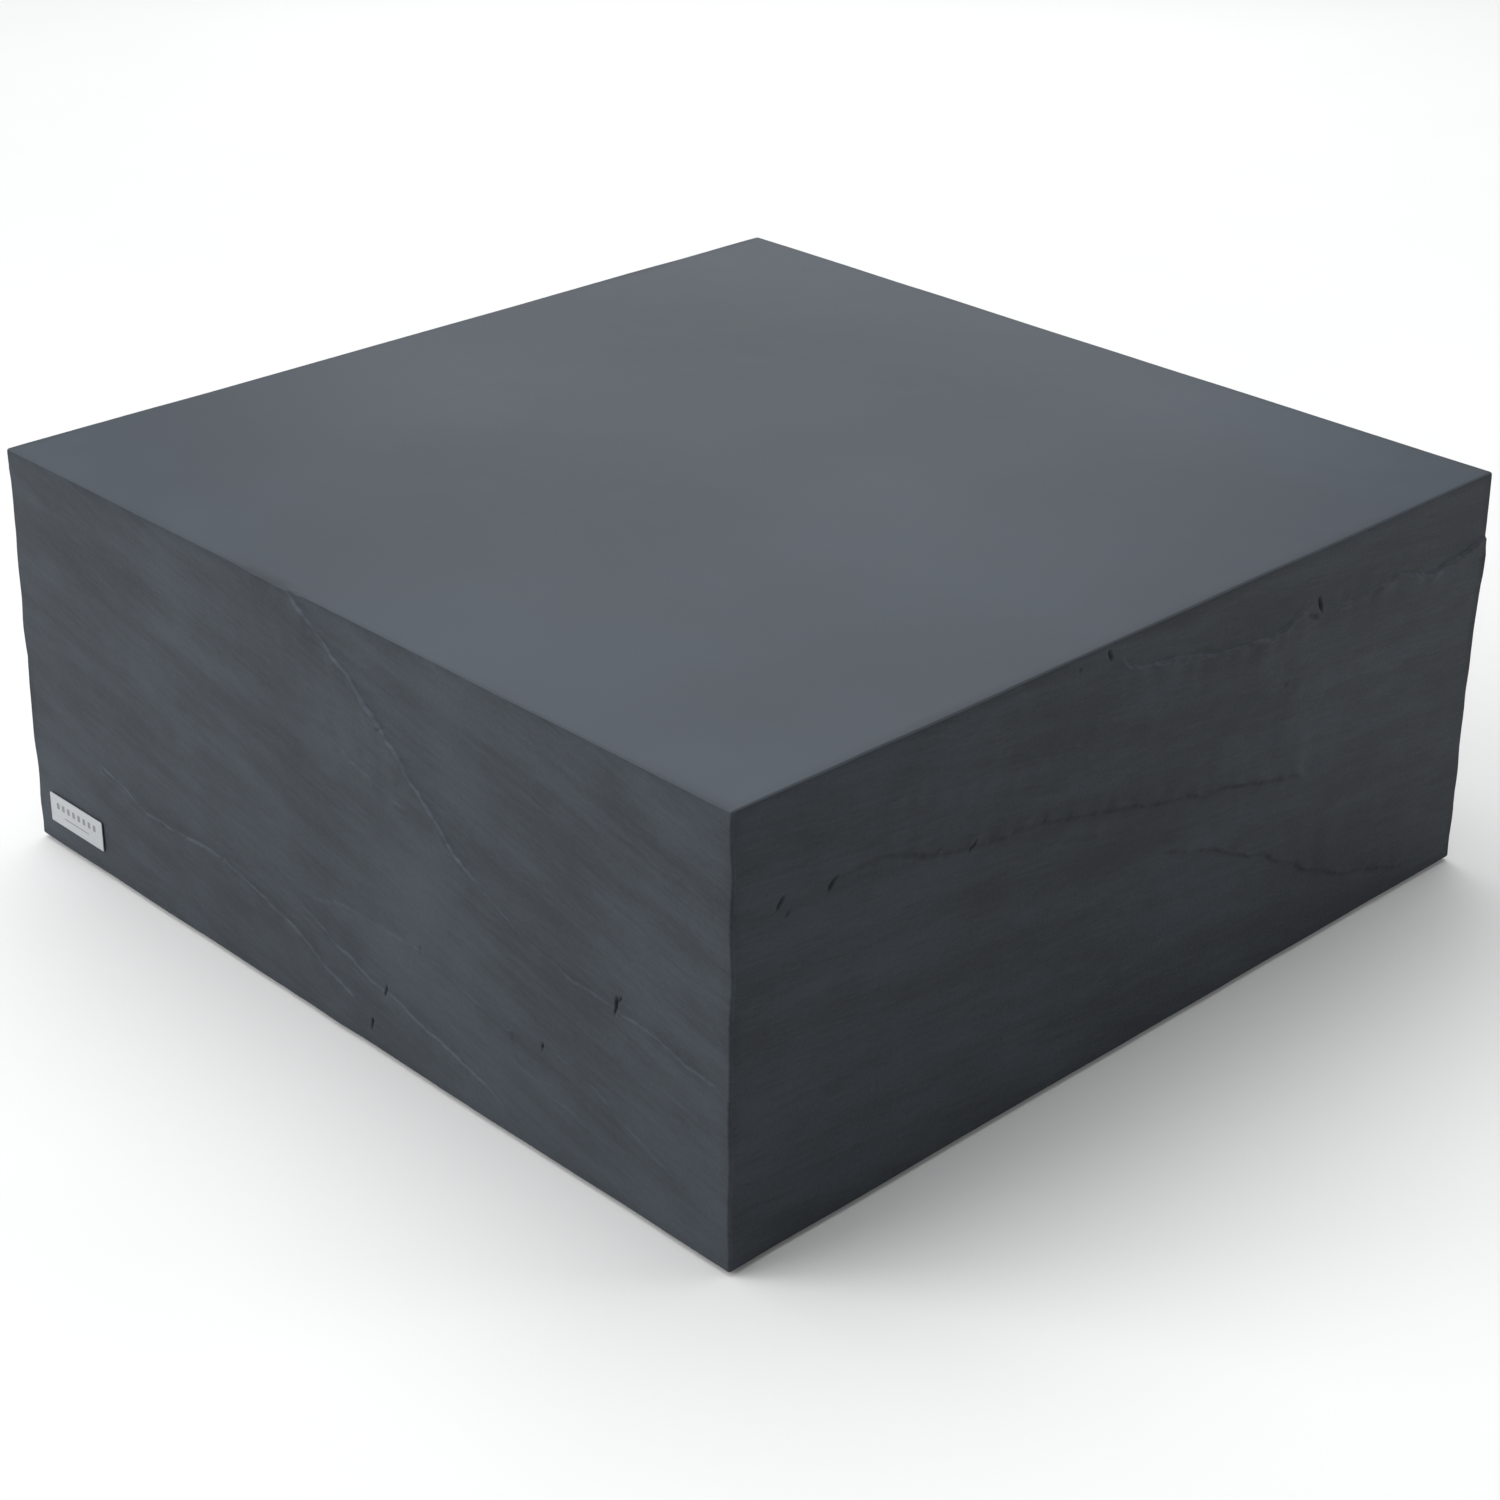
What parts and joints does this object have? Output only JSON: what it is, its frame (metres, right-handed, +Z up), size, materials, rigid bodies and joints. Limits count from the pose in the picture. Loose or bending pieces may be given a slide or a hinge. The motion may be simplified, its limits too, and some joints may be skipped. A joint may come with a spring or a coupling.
{
  "type": "cast stone block table",
  "caption": "Low square block table in hollow cast stone: smooth top, split-slate sides, small metal name plate and screw levelling feet behind the rim.",
  "frame": {"origin": "on the floor, under the middle of the square block", "axes": "+Z up through the top, -Y out of the face that carries the name plate, +X to that face's right"},
  "size_m": [1.07, 1.0719, 0.446],
  "materials": {
    "cast_slate": "honed top and split-slate sides, cast in a mould",
    "plate_steel": "satin, brushed along its length",
    "tape_foam": "black foam mounting tape",
    "zinc_steel": "zinc plated",
    "foot_nylon": "moulded black nylon",
    "pad_rubber": "matt black rubber"
  },
  "bodies": {
    "shell": {"cast_shell": "cast_slate", "name_plate": "plate_steel", "plate_tape": "tape_foam", "insert_front_left": "zinc_steel", "insert_front_right": "zinc_steel", "insert_back_left": "zinc_steel", "insert_back_right": "zinc_steel"},
    "foot_front_left": {"foot_base_front_left": "foot_nylon", "foot_pad_front_left": "pad_rubber"},
    "stud_front_left": {"foot_stud_front_left": "zinc_steel"},
    "nut_front_left": {"lock_nut_front_left": "zinc_steel"},
    "foot_front_right": {"foot_base_front_right": "foot_nylon", "foot_pad_front_right": "pad_rubber"},
    "stud_front_right": {"foot_stud_front_right": "zinc_steel"},
    "nut_front_right": {"lock_nut_front_right": "zinc_steel"},
    "foot_back_left": {"foot_base_back_left": "foot_nylon", "foot_pad_back_left": "pad_rubber"},
    "stud_back_left": {"foot_stud_back_left": "zinc_steel"},
    "nut_back_left": {"lock_nut_back_left": "zinc_steel"},
    "foot_back_right": {"foot_base_back_right": "foot_nylon", "foot_pad_back_right": "pad_rubber"},
    "stud_back_right": {"foot_stud_back_right": "zinc_steel"},
    "nut_back_right": {"lock_nut_back_right": "zinc_steel"}
  },
  "joints": [
    {"name": "foot_slide_front_left", "type": "slide", "parent": "shell", "child": "foot_front_left", "axis": [0, 0, -1], "range_m": [0, 0.015]},
    {"name": "stud_turn_front_left", "type": "hinge", "parent": "foot_front_left", "child": "stud_front_left", "pos_m": [-0.4725, -0.4725, 0.012], "axis": [0, 0, -1], "range_deg": [0, 3600]},
    {"name": "nut_turn_front_left", "type": "hinge", "parent": "shell", "child": "nut_front_left", "pos_m": [-0.4725, -0.4725, 0.0186], "axis": [0, 0, -1], "range_deg": [0, 180]},
    {"name": "foot_slide_front_right", "type": "slide", "parent": "shell", "child": "foot_front_right", "axis": [0, 0, -1], "range_m": [0, 0.015]},
    {"name": "stud_turn_front_right", "type": "hinge", "parent": "foot_front_right", "child": "stud_front_right", "pos_m": [0.4725, -0.4725, 0.012], "axis": [0, 0, -1], "range_deg": [0, 3600]},
    {"name": "nut_turn_front_right", "type": "hinge", "parent": "shell", "child": "nut_front_right", "pos_m": [0.4725, -0.4725, 0.0186], "axis": [0, 0, -1], "range_deg": [0, 180]},
    {"name": "foot_slide_back_left", "type": "slide", "parent": "shell", "child": "foot_back_left", "axis": [0, 0, -1], "range_m": [0, 0.015]},
    {"name": "stud_turn_back_left", "type": "hinge", "parent": "foot_back_left", "child": "stud_back_left", "pos_m": [-0.4725, 0.4725, 0.012], "axis": [0, 0, -1], "range_deg": [0, 3600]},
    {"name": "nut_turn_back_left", "type": "hinge", "parent": "shell", "child": "nut_back_left", "pos_m": [-0.4725, 0.4725, 0.0186], "axis": [0, 0, -1], "range_deg": [0, 180]},
    {"name": "foot_slide_back_right", "type": "slide", "parent": "shell", "child": "foot_back_right", "axis": [0, 0, -1], "range_m": [0, 0.015]},
    {"name": "stud_turn_back_right", "type": "hinge", "parent": "foot_back_right", "child": "stud_back_right", "pos_m": [0.4725, 0.4725, 0.012], "axis": [0, 0, -1], "range_deg": [0, 3600]},
    {"name": "nut_turn_back_right", "type": "hinge", "parent": "shell", "child": "nut_back_right", "pos_m": [0.4725, 0.4725, 0.0186], "axis": [0, 0, -1], "range_deg": [0, 180]}
  ],
  "couplings": [
    {"joint": "stud_turn_front_left", "follows": "foot_slide_front_left", "rad_per_m": 4188.8},
    {"joint": "stud_turn_front_right", "follows": "foot_slide_front_right", "rad_per_m": 4188.8},
    {"joint": "stud_turn_back_left", "follows": "foot_slide_back_left", "rad_per_m": 4188.8},
    {"joint": "stud_turn_back_right", "follows": "foot_slide_back_right", "rad_per_m": 4188.8}
  ]
}
